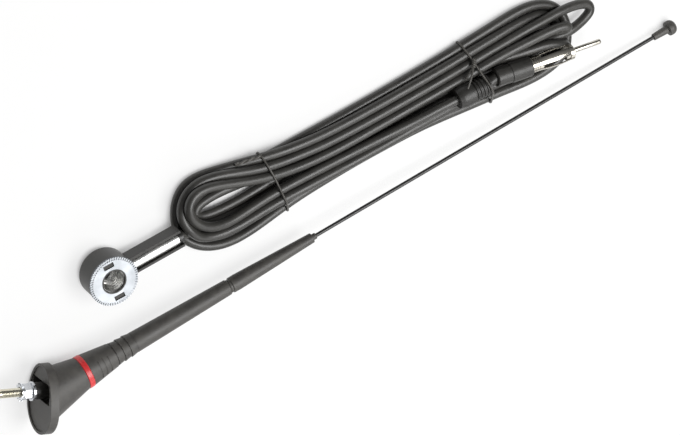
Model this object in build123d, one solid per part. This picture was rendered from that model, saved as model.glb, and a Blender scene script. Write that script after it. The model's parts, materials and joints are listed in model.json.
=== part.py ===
from build123d import *
import os
from math import atan2, cos, pi, radians, sin, tan

# Car roof antenna with its own lead, laid out on a flat surface: a leaning rubber mast on a roof
# foot, and the under-roof clamp cup with its coaxial cable, tied in a hank, and its radio plug.
# Millimetres. +Z is up from the surface, +X runs along the mast from the foot to the tip, and the
# origin is on the surface under the middle of the antenna and the clamp cup.

# Shared fits
SLIP = 0.05          # radial clearance of a thread or shaft that turns
SEAT = 0.02          # clearance round a piece that is moulded in or pressed in
THREAD_R = 2.5       # M5 thread, outside radius, of the roof stud and the mast stud
THREAD_FREE = 0.3    # radial room round the thread in what it only passes through

# Place of the foot on the surface: the point where mast axis and stud axis cross
FOOT_X = -187.5
FOOT_Y = -17.0

# Roof foot: an egg-shaped flange, wide at the front, under a leaning body
MAST_LEAN = 26.5     # mast axis from the roof's normal, degrees
AXES_CROSS = 8.2     # height of the crossing of the axes over the underside
FLANGE_FRONT = 24.0  # from the stud's axis
FLANGE_REAR = 14.6
FLANGE_HALF = 15.0
FLANGE_T = 5.0
LIP_W = 1.6
LIP_H = 0.7
BODY_FRONT = 19.0    # body at the flange, from the stud's axis
BODY_REAR = 12.3
BODY_HALF = 12.9
RING_SEAT = 16.9     # along the mast, from the crossing to the face under the red ring
FOOT_TOP_R = 9.2
POCKET_L = 10.6
POCKET_W = 21.0
POCKET_D = 6.0

# Metal core in the foot, and the roof stud with what is on it
CORE_R = 5.6
CORE_START = 1.0     # along the mast, from the crossing
BOSS_R = 5.0
BOSS_TOP = 10.8      # over the underside
BOSS_CAP = 0.6       # metal over the stud's end
STUD_REACH = 27.5    # below the underside
STUD_CHAMFER = 0.5
PILOT_R = 1.9        # plain point of the stud, below its thread
PILOT_L = 4.0
INSULATOR_R = 4.6
INSULATOR_DROP = 4.1  # below the underside, through the roof
WASHER_R = 5.2
WASHER_T = 1.6
NUT_FLATS = 8.0
NUT_T = 5.0
STAR_T = 1.2
STAR_RIM_R = 3.9
STAR_R = 4.9
STAR_TEETH = 12
STAR_TOOTH_W = 1.1

# Red ring and rubber mast, along the mast axis from the ring
RING_R = 9.45
RING_W = 3.2
CONE_L = 16.2
CONE_R = 9.2
CONE_TOP_R = 6.85
NECK_R = 6.1
NECK_L = 0.8
BARBS = 3
BARB_L = 4.2
BARB_R = 6.6
BARB_STEP = 0.14     # each barb is that much smaller than the last
BARB_FALL = 0.75     # fall of the radius along one barb
SLEEVE_L = 60.6
SLEEVE_R = 5.75
SLEEVE_TOP_R = 4.35
SLEEVE_ROUND = 0.6
GRIP_GROOVES = 3
GRIP_FIRST = 5.2
GRIP_PITCH = 3.1
GRIP_W = 0.9
GRIP_D = 0.35
GRIP_ARC = 80.0      # degrees of the cone, on each side

# Inside the mast
MAST_THREAD_L = 12.0
FERRULE_R = 4.0
FERRULE_L = 20.0
FORMER_R = 2.2
FORMER_SHORT = 3.4   # former ends before the sleeve
COIL_R = 3.0
COIL_GAP = 5.0       # bare former before the winding
COIL_SHORT = 14.0    # winding ends before the former
ROD_R = 1.08
ROD_SOCKET = 12.0    # rod inside the former
ROD_FREE = 293.2     # rod past the sleeve

# Upper sleeve and tip
UPPER_GAP = 1.4      # groove between the sleeves
UPPER_L = 52.4
UPPER_R = 4.45
UPPER_TOP_R = 2.8
UPPER_LIP = 4.0      # length over which the sleeve swells to its full radius
UPPER_NECK_R = 3.8
COLLAR_L = 2.4
COLLAR_R = 1.75
TIP_OVER = 12.0      # tip's hold on the rod
TIP_SLEEVE_L = 9.4
TIP_SLEEVE_R = 1.9
TIP_SLEEVE_TOP_R = 2.3
TIP_R = 4.2
TIP_H = 5.2
TIP_ROUND = 3.0
TIP_EDGE = 0.8

# Under-roof clamp cup, on its back on the surface, its arm along +X
CUP_X = -135.6
CUP_Y = 24.5
CUP_ROLL = 6.0       # the cup leans towards -Y
CUP_R = 13.6
CUP_H = 14.8
CUP_EDGE = 2.5
CUP_FLOOR = 5.0
GROUND_R = 14.0
GROUND_T = 1.5
GROUND_HOLE_R = 7.1
TEETH = 60
TOOTH_W = 0.75
TOOTH_D = 0.45
TOOTH_L = 1.5
SLOT_L = 6.0
SLOT_W = 2.8
SLOT_OFFSET = 10.0
TAB_GAP = 0.3
TAB_LOW = 0.5        # tabs end below the ring's face
COLLAR_WALL = 0.8    # plastic collar between ground ring and bush
BUSH_WALL = 1.1
BUSH_FLOOR = 1.5
BUSH_LOW = 0.9       # bush ends below the ring's face
STUD_HOLE_R = 3.35
ARM_REACH = 44.5
ARM_LOW = 4.5        # arm's underside over the cup's back
ARM_H = 8.0
ARM_WALL = 1.4
ARM_FLOOR = 1.5
ARM_GAP = 0.2        # room between crimp and walls
CRIMP_WALL = 0.7
CRIMP_END = 2.0      # crimp ends before the arm
CRIMP_START = 0.4    # crimp starts outside the cup
CABLE_START = 8.5    # cable end inside the cup, from its axis
FERRULE_OUT_R = 3.5
FERRULE_OUT_L = 2.8    # the ferrule follows the crimp out of the arm

# Coaxial cable and its hank
CABLE_R = 2.75
CABLE_PLAY = 0.1
HANK_H = 10.4
HANK_EDGE = 2.0
HANK_OUTLINE = [
    (-89.5, 26), (-87.5, 15), (-80, 6.8), (-69, 3.2), (-58, 2.6), (-44, 4.4), (-28, 7), (-8, 8.2),
    (18, 8.2), (42, 8.4), (62, 6.6), (84, 6), (102, 3), (119, -0.6), (133, -1.6), (144, 1.6),
    (153, 7.5), (163, 10.8), (171, 13.8), (175, 19), (173.5, 24.5), (167, 29), (157, 33), (148, 39),
    (138, 42), (121, 42), (101, 40), (80, 39.3), (50, 39.3), (14, 38.4), (-18, 38.8), (-36, 42.4),
    (-52, 46.2), (-66, 49.2), (-77, 48.8), (-86, 42), (-89.5, 34),
]
EYE_X = (-76.0, -41.0)    # the open eye of the left loop
EYE_Y = 25.6
EYE_RISE = 3.6
EYE_DIP = 2.6
LANE_HALF = 4.3      # lane in the hank's top where the cable climbs to the plug
TAIL_ROUTE = [(36, 12.6, 8.3), (50, 13.6, 9.3)]
TAIL_LAST = 14.5     # last run, along the plug
LEAD_IN = 5.0        # the lead is cut off at the hank's side, inside that length
TAIL_BEND = 0.45     # share of the shorter run that a bend takes

# Radio plug, lying in a bay of the hank on its lower layer
PLUG_X = 80.5
PLUG_Y = 14.0
PLUG_TURN = -3.0     # strain relief's direction in plan, degrees
PLUG_SEAT = 0.1      # plug over the cables under it
RELIEF_R = 6.5
RELIEF_L = 9.7
RELIEF_RIM_L = 3.0
RELIEF_RIM_R = 5.6
RIB_R = 5.9
RIB_ROOT_R = 5.2
RIBS = 5
RIB_PITCH = 2.1
BOOT_X = 105.4
BOOT_Y = 13.9
BOOT_TURN = -10.6
BOOT_NECK_R = 3.2
BOOT_R = 5.3
BOOT_L = 9.0
BOOT_FRONT_R = 5.75
BOOT_FRONT_L = 12.8
BOOT_ROUND = 0.6
BARREL_IN = 6.0      # barrel inside the boot
BARREL_L = 26.4      # barrel in front of the boot
BARREL_R = 4.4
BARREL_BULGE_R = 4.7
BARREL_RING_L = 2.6
BARREL_WALL = 0.7
LEAVES = 4
LEAF_SLIT = 0.6
LEAF_REAR = 6.5      # slits start that far in front of the boot
INSULATOR_L = 5.0
PIN_R = 1.45
PIN_ROOT_R = 1.2     # inside the insulator
PIN_L = 18.0         # in front of the barrel
PIN_ROUND = 0.9
BAY_EDGE = [(72, 21.6), (112, 20.6), (151, 12), (159, 9.4)]
BAY_PAST = 20.0      # the bay is cut that far past the hank's side

# Wire ties round the hank
TIE_W = 1.3
TIE_T = 1.1
TIE_PLAY = 0.15
TIE_ROUND = 3.0
LEFT_TIE_X = -29.8
LEFT_TIE_TURN = -6.0
LEFT_TIE_Y = (6.8, 41.2)
TWIST_R = 1.1
TWIST_END = (-47.5, 43.6)
RIGHT_TIE_X = 98.0
RIGHT_TIE_TURN = 8.0
RIGHT_TIE_Y = (2.6, 40.2)
RIGHT_TIE_SHOULDER = 22.0
KNOT_Y = 29.0
KNOT_R = 1.5
TAIL_R = 0.6
TAIL_ENDS = [(84.6, 24.4), (85.6, 22.2)]

BOTTOM = (Align.CENTER, Align.CENTER, Align.MIN)


def turned(*profile):
    """Solid of revolution about local Z from (radius, height) corners."""
    return revolve(make_face(Plane.XZ * Polyline(*profile, close=True)), Axis.Z)


def rod(radius, start, end):
    return Pos(0, 0, start) * Cylinder(radius, end - start, align=BOTTOM)


def tube(outer, inner, start, end):
    return rod(outer, start, end) - rod(inner, start, end)


parts = {}

# Mast axis in the foot's own frame: local X is the side the mast leans to, local Z the roof's normal
lean = radians(MAST_LEAN)
mast_in_foot = Plane(
    origin=(0, 0, AXES_CROSS), x_dir=(cos(lean), 0, -sin(lean)), z_dir=(sin(lean), 0, cos(lean))
)

# Foot core: cast insert with the mast's thread, and a boss for the roof stud
stud_root = BOSS_TOP - BOSS_CAP
core_post = mast_in_foot * rod(CORE_R, CORE_START, RING_SEAT)
core_boss = rod(BOSS_R, POCKET_D, BOSS_TOP)
mast_hole = mast_in_foot * rod(THREAD_R + SLIP, RING_SEAT - MAST_THREAD_L - THREAD_FREE, RING_SEAT)
stud_hole = rod(THREAD_R + SEAT, POCKET_D, stud_root)
foot_core = core_post + core_boss - mast_hole - stud_hole

# Foot boot: rubber over the core, with a lip round its underside and the pocket for the clamp
egg_x = FLANGE_HALF - FLANGE_FRONT


def egg(inset):
    """The flange's outline, that much inside its edge."""
    half = FLANGE_HALF - inset
    front = EllipticalCenterArc((egg_x, 0), half, half, 90, arc_size=180)
    rear = EllipticalCenterArc((egg_x, 0), FLANGE_REAR - egg_x - inset, half, -90, arc_size=180)
    return make_face([front, rear])


body_foot = Ellipse((BODY_FRONT + BODY_REAR) / 2, BODY_HALF)
body_foot = Pos((BODY_REAR - BODY_FRONT) / 2, 0, FLANGE_T) * body_foot
body_top = mast_in_foot * Pos(0, 0, RING_SEAT) * Circle(FOOT_TOP_R)
body = loft([body_foot, body_top], ruled=True)
pocket = Box(POCKET_L, POCKET_W, POCKET_D, align=BOTTOM)
core_bed = mast_in_foot * rod(CORE_R + SEAT, CORE_START - SEAT, RING_SEAT)
core_bed += rod(BOSS_R + SEAT, POCKET_D, BOSS_TOP + SEAT)
foot_boot = extrude(egg(0), FLANGE_T) + body - extrude(egg(LIP_W), LIP_H)
foot_boot = foot_boot - pocket - core_bed

# Roof stud with its insulating bush, flat washer, nut and toothed washer
thread_end = PILOT_L - STUD_REACH
roof_stud = rod(THREAD_R, thread_end, stud_root)
roof_stud = chamfer(roof_stud.edges().sort_by(Axis.Z)[0], STUD_CHAMFER)
stud_pilot = rod(PILOT_R, -STUD_REACH, thread_end)
roof_stud += chamfer(stud_pilot.edges().sort_by(Axis.Z)[0], STUD_CHAMFER)
insulator_end = -INSULATOR_DROP
stud_insulator = tube(INSULATOR_R, THREAD_R + SEAT, insulator_end, POCKET_D)
washer_end = insulator_end - WASHER_T
flat_washer = tube(WASHER_R, THREAD_R + THREAD_FREE, washer_end, insulator_end)
nut_end = washer_end - NUT_T
nut_corner = NUT_FLATS / 2 / cos(radians(30))
nut_bevel = nut_corner - NUT_FLATS / 2
hexagon = RegularPolygon(NUT_FLATS / 2, 6, major_radius=False)
clamp_nut = Pos(0, 0, nut_end) * extrude(hexagon, NUT_T)
clamp_nut &= turned(
    (0, nut_end), (NUT_FLATS / 2, nut_end), (nut_corner, nut_end + nut_bevel),
    (nut_corner, washer_end - nut_bevel), (NUT_FLATS / 2, washer_end), (0, washer_end),
)
clamp_nut -= rod(THREAD_R + SLIP, nut_end, washer_end)
star_end = nut_end - STAR_T
tooth_l = STAR_R - STAR_RIM_R / 2
star_tooth = Box(tooth_l, STAR_TOOTH_W, STAR_T, align=(Align.MIN, Align.CENTER, Align.MIN))
star_washer = rod(STAR_RIM_R, star_end, nut_end)
for place in PolarLocations(STAR_R - tooth_l, STAR_TEETH):
    star_washer += Pos(0, 0, star_end) * place * star_tooth
star_washer -= rod(THREAD_R + THREAD_FREE, star_end, nut_end)

# Red ring between foot and mast
mast_foot = RING_SEAT + RING_W
red_ring = tube(RING_R, THREAD_R + THREAD_FREE, RING_SEAT, mast_foot)

# Mast stud: threaded pin with a ferrule that carries the coil former
former_start = mast_foot + FERRULE_L
mast_stud = rod(THREAD_R, RING_SEAT - MAST_THREAD_L, mast_foot) + rod(FERRULE_R, mast_foot, former_start)

# Coil former, its winding, and the whip rod that is let into the former
cone_top = mast_foot + CONE_L
barbs_start = cone_top + NECK_L
sleeve_start = barbs_start + BARBS * BARB_L
sleeve_end = sleeve_start + SLEEVE_L
former_end = sleeve_end - FORMER_SHORT
rod_start = former_end - ROD_SOCKET
rod_end = sleeve_end + ROD_FREE
coil_start = former_start + COIL_GAP
coil_end = former_end - COIL_SHORT
coil_former = rod(FORMER_R, former_start, former_end) - rod(ROD_R + SEAT, rod_start, former_end)
loading_coil = tube(COIL_R, FORMER_R + SEAT, coil_start, coil_end)
whip_rod = rod(ROD_R, rod_start, rod_end)

# Mast boot: grip cone, barbed neck and long tapered sleeve in one rubber moulding
boot_profile = [(0, mast_foot), (CONE_R, mast_foot), (CONE_TOP_R, cone_top)]
boot_profile += [(NECK_R, cone_top), (NECK_R, barbs_start)]
for barb in range(BARBS):
    barb_r = BARB_R - barb * BARB_STEP
    barb_z = barbs_start + barb * BARB_L
    boot_profile += [(barb_r, barb_z), (barb_r - BARB_FALL, barb_z + BARB_L)]
boot_profile += [(SLEEVE_R, sleeve_start), (SLEEVE_TOP_R, sleeve_end - SLEEVE_ROUND)]
boot_profile += [(SLEEVE_TOP_R - SLEEVE_ROUND, sleeve_end), (0, sleeve_end)]
mast_boot = turned(*boot_profile)
mast_boot -= rod(FERRULE_R + SEAT, mast_foot, former_start)
mast_boot -= rod(FORMER_R + SEAT, former_start, former_end)
mast_boot -= rod(COIL_R + SEAT, coil_start, coil_end)
mast_boot -= rod(ROD_R + SEAT, former_end, sleeve_end)
for groove in range(GRIP_GROOVES):
    groove_z = mast_foot + GRIP_FIRST + groove * GRIP_PITCH
    skin_r = CONE_R - (CONE_R - CONE_TOP_R) * (groove_z - mast_foot) / CONE_L
    cut = Plane.XZ * Pos(skin_r, groove_z) * Rectangle(2 * GRIP_D, GRIP_W)
    for side in (90, 270):
        mast_boot -= Rot(0, 0, side - GRIP_ARC / 2) * revolve(cut, Axis.Z, revolution_arc=GRIP_ARC)

# Upper sleeve with its end collar, round the rod
upper_start = sleeve_end + UPPER_GAP
upper_end = upper_start + UPPER_L
collar_end = upper_end + COLLAR_L
upper_sleeve = turned(
    (ROD_R + SEAT, sleeve_end), (UPPER_NECK_R, sleeve_end), (UPPER_NECK_R, upper_start),
    (SLEEVE_TOP_R, upper_start), (UPPER_R, upper_start + UPPER_LIP), (UPPER_TOP_R, upper_end),
    (COLLAR_R, upper_end), (COLLAR_R, collar_end), (ROD_R + SEAT, collar_end),
)

# Tip cap: a short sleeve with a mushroom head, glued on the rod
tip_start = rod_end - TIP_OVER
head_start = tip_start + TIP_SLEEVE_L
head_end = head_start + TIP_H
tip_head = rod(TIP_R, head_start, head_end)
tip_head = fillet(tip_head.edges().sort_by(Axis.Z)[-1], TIP_ROUND)
tip_head = fillet(tip_head.edges().sort_by(Axis.Z)[0], TIP_EDGE)
tip_cap = tip_head + turned(
    (0, tip_start), (TIP_SLEEVE_R, tip_start), (TIP_SLEEVE_TOP_R, head_start), (0, head_start)
)
tip_cap -= rod(ROD_R + SEAT, tip_start, rod_end)

# The antenna lies on the flange's edge and on the tip, its plane of symmetry nearly level
drop = atan2(FLANGE_HALF - TIP_R, head_end - TIP_ROUND + AXES_CROSS)
mast_dir = Vector(cos(drop), 0, -sin(drop))
side_dir = Vector(sin(drop), 0, cos(drop))
cross_dir = side_dir.cross(mast_dir)
roof_normal = mast_dir * cos(lean) - cross_dir * sin(lean)
lean_dir = mast_dir * sin(lean) + cross_dir * cos(lean)
crossing = roof_normal * AXES_CROSS
foot_at = Plane(origin=Vector(FOOT_X, FOOT_Y, 0) - crossing, x_dir=lean_dir, z_dir=roof_normal)
foot_low = (foot_at * foot_boot).bounding_box().min.Z
foot_at = Plane(origin=foot_at.origin - Vector(0, 0, foot_low), x_dir=lean_dir, z_dir=roof_normal)
mast_at = foot_at.location * mast_in_foot.location

for name, shape in [
    ("foot_boot", foot_boot), ("foot_core", foot_core), ("roof_stud", roof_stud),
    ("stud_insulator", stud_insulator), ("flat_washer", flat_washer), ("clamp_nut", clamp_nut),
    ("star_washer", star_washer),
]:
    parts[name] = foot_at.location * shape
for name, shape in [
    ("red_ring", red_ring), ("mast_stud", mast_stud), ("mast_boot", mast_boot),
    ("coil_former", coil_former), ("loading_coil", loading_coil), ("upper_sleeve", upper_sleeve),
    ("whip_rod", whip_rod), ("tip_cap", tip_cap),
]:
    parts[name] = mast_at * shape

# Clamp cup in its own frame: local Z from its back to its face, local X along the arm
face_z = CUP_H + GROUND_T
collar_r = GROUND_HOLE_R - COLLAR_WALL
crimp_r = CABLE_R + CABLE_PLAY + CRIMP_WALL
arm_floor_z = ARM_LOW + ARM_FLOOR
cable_z = arm_floor_z + crimp_r
arm_inner = 2 * (crimp_r + ARM_GAP)
along_x = Plane(origin=(0, 0, cable_z), x_dir=(0, 1, 0), z_dir=(1, 0, 0))
clamp_cup = fillet(rod(CUP_R, 0, CUP_H).edges().sort_by(Axis.Z)[0], CUP_EDGE)
arm_outer = Pos(0, 0, ARM_LOW) * Box(
    ARM_REACH, arm_inner + 2 * ARM_WALL, ARM_H, align=(Align.MIN, Align.CENTER, Align.MIN)
)
trough = Pos(CUP_R, 0, arm_floor_z) * Box(
    ARM_REACH, arm_inner, ARM_H, align=(Align.MIN, Align.CENTER, Align.MIN)
)
clamp_cup = clamp_cup + (arm_outer - trough)
clamp_cup += rod(GROUND_HOLE_R - SEAT, CUP_H, face_z)
clamp_cup -= rod(collar_r, CUP_FLOOR, face_z)
clamp_cup -= rod(STUD_HOLE_R, 0, CUP_FLOOR)
clamp_cup -= along_x * rod(CABLE_R + CABLE_PLAY, CABLE_START, CUP_R + CUP_EDGE)
tab = Box(SLOT_L - 2 * TAB_GAP, SLOT_W - 2 * TAB_GAP, GROUND_T - TAB_LOW, align=BOTTOM)
slot = Box(SLOT_L, SLOT_W, GROUND_T, align=BOTTOM)
ground_ring = tube(GROUND_R, GROUND_HOLE_R, CUP_H, face_z)
for offset_y in (-SLOT_OFFSET, SLOT_OFFSET):
    clamp_cup += Pos(0, offset_y, CUP_H) * tab
    ground_ring -= Pos(0, offset_y, CUP_H) * slot

# Ground ring's fine teeth round its rim, and the silvered contact bush in the middle
notch = Pos(GROUND_R, 0, face_z) * Box(2 * TOOTH_L, TOOTH_W, 2 * TOOTH_D)
ground_ring -= [Rot(0, 0, 360 / TEETH * tooth) * notch for tooth in range(TEETH)]
bush_r = collar_r - SEAT
bush_end = face_z - BUSH_LOW
contact_bush = rod(bush_r, CUP_FLOOR, bush_end)
contact_bush -= rod(bush_r - BUSH_WALL, CUP_FLOOR + BUSH_FLOOR, bush_end)
contact_bush -= rod(STUD_HOLE_R, CUP_FLOOR, bush_end)

# Crimp tube over the cable's braid, and the ferrule at the arm's end
crimp_end = ARM_REACH - CRIMP_END
braid_crimp = along_x * tube(crimp_r, CABLE_R + CABLE_PLAY, CUP_R + CRIMP_START, crimp_end)
cable_ferrule = along_x * tube(
    FERRULE_OUT_R, CABLE_R + CABLE_PLAY, crimp_end, crimp_end + FERRULE_OUT_L
)

roll = radians(CUP_ROLL)
cup_at = Plane(origin=(CUP_X, CUP_Y, 0), x_dir=(1, 0, 0), z_dir=(0, -sin(roll), cos(roll)))
cup_low = (cup_at * clamp_cup).bounding_box().min.Z
cup_at = Plane(origin=cup_at.origin - Vector(0, 0, cup_low), x_dir=cup_at.x_dir, z_dir=cup_at.z_dir)
for name, shape in [
    ("clamp_cup", clamp_cup), ("ground_ring", ground_ring), ("contact_bush", contact_bush),
    ("braid_crimp", braid_crimp), ("cable_ferrule", cable_ferrule),
]:
    parts[name] = cup_at.location * shape

# Hank: the outer shape of the tied turns, one layer high where the plug lies
outline = make_face(Polyline(*HANK_OUTLINE, close=True))
hank = extrude(outline, HANK_H)
hank = chamfer(hank.edges().group_by(Axis.Z)[-1] + hank.edges().group_by(Axis.Z)[0], HANK_EDGE)
eye_middle = sum(EYE_X) / 2
eye_top = ThreePointArc((EYE_X[0], EYE_Y), (eye_middle, EYE_Y + EYE_RISE), (EYE_X[1], EYE_Y))
eye_low = ThreePointArc((EYE_X[1], EYE_Y), (eye_middle, EYE_Y - EYE_DIP), (EYE_X[0], EYE_Y))
hank -= extrude(make_face([eye_top, eye_low]), HANK_H)
layer = 2 * CABLE_R
side_y = min(y for x, y in HANK_OUTLINE) - BAY_PAST
end_x = max(x for x, y in HANK_OUTLINE) + BAY_PAST
bay = [(BAY_EDGE[0][0], side_y)] + BAY_EDGE + [(end_x, BAY_EDGE[-1][1]), (end_x, side_y)]
hank -= Pos(0, 0, layer) * extrude(make_face(Polyline(*bay, close=True)), HANK_H)
lane_start, lane_y, lane_z = TAIL_ROUTE[0]
lane_l = BAY_EDGE[0][0] - lane_start
hank -= Pos(lane_start, PLUG_Y, layer) * Box(
    lane_l, 2 * LANE_HALF, HANK_H, align=(Align.MIN, Align.CENTER, Align.MIN)
)

# Radio plug: strain relief on the cable, then boot, spring barrel, insulator and pin
plug_z = layer + RELIEF_R + PLUG_SEAT
turn = radians(PLUG_TURN)
relief_at = Plane(
    origin=(PLUG_X, PLUG_Y, plug_z), x_dir=(-sin(turn), cos(turn), 0), z_dir=(cos(turn), sin(turn), 0)
)
ribs_l = RIBS * RIB_PITCH
relief_end = RELIEF_L + ribs_l
relief = [(0, 0), (RELIEF_RIM_R, 0), (RELIEF_R, RELIEF_RIM_L), (RELIEF_R, RELIEF_L)]
for rib in range(RIBS):
    rib_z = RELIEF_L + rib * RIB_PITCH
    relief += [(RIB_ROOT_R, rib_z), (RIB_ROOT_R, rib_z + RIB_PITCH / 2)]
    relief += [(RIB_R, rib_z + RIB_PITCH / 2), (RIB_R, rib_z + RIB_PITCH)]
relief += [(0, relief_end)]
parts["plug_strain_relief"] = relief_at.location * turned(*relief)

turn = radians(BOOT_TURN)
boot_at = Plane(
    origin=(BOOT_X, BOOT_Y, plug_z), x_dir=(-sin(turn), cos(turn), 0), z_dir=(cos(turn), sin(turn), 0)
)
neck_rear = relief_at.location * Pos(0, 0, relief_end) * Circle(BOOT_NECK_R)
neck_front = boot_at.location * Circle(BOOT_NECK_R)
parts["plug_neck"] = loft([neck_rear, neck_front], ruled=True)
boot_end = BOOT_L + BOOT_FRONT_L
plug_boot = turned(
    (0, 0), (BOOT_R - BOOT_ROUND, 0), (BOOT_R, BOOT_ROUND), (BOOT_R, BOOT_L), (BOOT_FRONT_R, BOOT_L),
    (BOOT_FRONT_R, boot_end - BOOT_ROUND), (BOOT_FRONT_R - BOOT_ROUND, boot_end), (0, boot_end),
)
plug_boot -= rod(BARREL_R + SEAT, boot_end - BARREL_IN, boot_end)
barrel_start = boot_end - BARREL_IN
barrel_end = boot_end + BARREL_L
ring_start = barrel_end - BARREL_RING_L
leaf_start = boot_end + LEAF_REAR
barrel_bore = BARREL_R - BARREL_WALL
plug_barrel = turned(
    (barrel_bore, barrel_start), (BARREL_R, barrel_start), (BARREL_R, leaf_start),
    (BARREL_BULGE_R, (leaf_start + ring_start) / 2), (BARREL_R, ring_start), (BARREL_R, barrel_end),
    (barrel_bore, barrel_end),
)
slit = Pos(BARREL_R, 0, (leaf_start + ring_start) / 2) * Box(BARREL_R, LEAF_SLIT, ring_start - leaf_start)
for leaf in range(LEAVES):
    plug_barrel -= Rot(0, 0, 360 / LEAVES * (leaf + 0.5)) * slit
insulator_start = barrel_end - INSULATOR_L
plug_insulator = tube(barrel_bore - SEAT, PIN_ROOT_R + SEAT, insulator_start, barrel_end)
pin_end = barrel_end + PIN_L
plug_pin = rod(PIN_R, barrel_end, pin_end)
plug_pin = fillet(plug_pin.edges().sort_by(Axis.Z)[-1], PIN_ROUND)
plug_pin += rod(PIN_ROOT_R, insulator_start, barrel_end)
for name, shape in [
    ("plug_boot", plug_boot), ("plug_barrel", plug_barrel), ("plug_insulator", plug_insulator),
    ("plug_pin", plug_pin),
]:
    parts[name] = boot_at.location * shape

# Left tie: a wire band round the bundle, its ends twisted together along the hank's edge
tie_top = HANK_H + TIE_PLAY
left_at = Plane(
    origin=(LEFT_TIE_X, 0, 0),
    x_dir=(sin(radians(LEFT_TIE_TURN)), cos(radians(LEFT_TIE_TURN)), 0),
    z_dir=(cos(radians(LEFT_TIE_TURN)), -sin(radians(LEFT_TIE_TURN)), 0),
)
low_y, high_y = LEFT_TIE_Y
left_loop = [(low_y, TIE_T), (high_y, TIE_T), (high_y, tie_top), (low_y, tie_top)]
right_at = Plane(
    origin=(RIGHT_TIE_X, (RIGHT_TIE_Y[0] + RIGHT_TIE_Y[1]) / 2, 0),
    x_dir=(-sin(radians(RIGHT_TIE_TURN)), cos(radians(RIGHT_TIE_TURN)), 0),
    z_dir=(cos(radians(RIGHT_TIE_TURN)), sin(radians(RIGHT_TIE_TURN)), 0),
)
half_y = (RIGHT_TIE_Y[1] - RIGHT_TIE_Y[0]) / 2
shoulder_y = RIGHT_TIE_SHOULDER - half_y - RIGHT_TIE_Y[0]
plug_top = plug_z + RIB_R + TIE_PLAY
right_loop = [
    (-half_y, TIE_T), (half_y, TIE_T), (half_y, tie_top), (shoulder_y, plug_top), (-half_y, plug_top)
]


def band(loop, at):
    """Closed band round a loop of points in a plane across the hank, and the room that it takes."""
    inside = make_face(FilletPolyline(*loop, radius=TIE_ROUND, close=True))
    ring = extrude(offset(inside, TIE_T) - inside, TIE_W / 2, both=True)
    room = extrude(offset(inside, BAY_PAST) - offset(inside, -TIE_PLAY), TIE_W / 2 + TIE_PLAY, both=True)
    return at.location * ring, at.location * room


def wire(radius, start, end):
    way = Vector(*end) - Vector(*start)
    return Plane(origin=start, z_dir=way).location * rod(radius, 0, way.length)


left_tie, left_room = band(left_loop, left_at)
twist_z = tie_top + TIE_T / 2 + TWIST_R / 2
twist_start = left_at.from_local_coords((high_y - TIE_ROUND, twist_z, 0))
left_tie += wire(TWIST_R, tuple(twist_start), (*TWIST_END, twist_z))

# Right tie: round the bundle and the plug's ribs, with a knot and two short tails
right_tie, right_room = band(right_loop, right_at)
slope = (KNOT_Y - RIGHT_TIE_SHOULDER) / (RIGHT_TIE_Y[1] - RIGHT_TIE_SHOULDER)
knot_z = plug_top + (tie_top - plug_top) * slope + TIE_T / 2
knot = right_at.from_local_coords((KNOT_Y - half_y - RIGHT_TIE_Y[0], knot_z, 0))
right_tie += Pos(*tuple(knot)) * Sphere(KNOT_R)
tail_z = plug_z + TAIL_R
for tail_x, tail_y in TAIL_ENDS:
    right_tie += wire(TAIL_R, tuple(knot), (tail_x, tail_y, tail_z))
parts["left_tie"] = left_tie
parts["right_tie"] = right_tie
hank = hank - left_room - right_room
parts["cable_hank"] = hank

# Cable outside the hank: through the crimp to the hank, and from the hank to the plug
cable_l = min(x for x, y in HANK_OUTLINE) - CUP_X + LEAD_IN
lead = cup_at.location * (along_x * rod(CABLE_R, CABLE_START, cable_l))
parts["cable_lead"] = lead - hank
tail_points = [Vector(*point) for point in TAIL_ROUTE]
tail_points += [relief_at.origin - relief_at.z_dir * TAIL_LAST, relief_at.origin]
tail_runs = [b - a for a, b in zip(tail_points, tail_points[1:])]
bends = []
for before, after in zip(tail_runs, tail_runs[1:]):
    half_turn = radians(before.get_angle(after)) / 2
    bends.append(TAIL_BEND * min(before.length, after.length) / tan(half_turn))
print("cable bend radii", [round(bend, 1) for bend in bends])
tail_line = FilletPolyline(*tail_points, radius=bends)
tail = sweep(Plane(origin=tail_points[0], z_dir=tail_runs[0]).location * Circle(CABLE_R), tail_line)
print("cable tail", round(tail.volume / (pi * CABLE_R**2), 2), "mm of", round(tail_line.length, 2))
parts["cable_tail"] = tail - hank

os.makedirs("parts", exist_ok=True)
for name, shape in parts.items():
    export_step(shape, f"parts/{name}.step")
    print(name, round(shape.volume, 1), "mm3")
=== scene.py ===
import bpy
import bmesh
import json
import math
import numpy as np
from mathutils import Matrix, Vector


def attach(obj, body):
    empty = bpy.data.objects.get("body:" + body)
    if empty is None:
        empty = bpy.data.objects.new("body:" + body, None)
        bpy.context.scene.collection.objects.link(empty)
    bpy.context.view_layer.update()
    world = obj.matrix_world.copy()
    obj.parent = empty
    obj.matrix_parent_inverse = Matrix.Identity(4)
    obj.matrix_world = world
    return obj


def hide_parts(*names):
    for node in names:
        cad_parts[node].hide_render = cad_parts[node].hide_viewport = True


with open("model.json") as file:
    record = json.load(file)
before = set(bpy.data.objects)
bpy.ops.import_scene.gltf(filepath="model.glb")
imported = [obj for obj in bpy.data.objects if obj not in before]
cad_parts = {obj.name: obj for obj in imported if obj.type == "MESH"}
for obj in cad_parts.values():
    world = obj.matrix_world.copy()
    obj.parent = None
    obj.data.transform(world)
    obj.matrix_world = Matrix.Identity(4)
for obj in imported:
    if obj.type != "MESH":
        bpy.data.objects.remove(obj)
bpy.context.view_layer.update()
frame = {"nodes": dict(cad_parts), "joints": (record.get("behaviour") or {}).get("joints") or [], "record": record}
nodes = frame["nodes"]

# Rubber boot of the foot: EPDM, moulded over the metal core in one piece with its sealing lip.
# The rubber is dull and a little dusty, so it gives a soft grey sheen and no sharp reflection, and every
# edge that the mould leaves is rounded.


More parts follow.
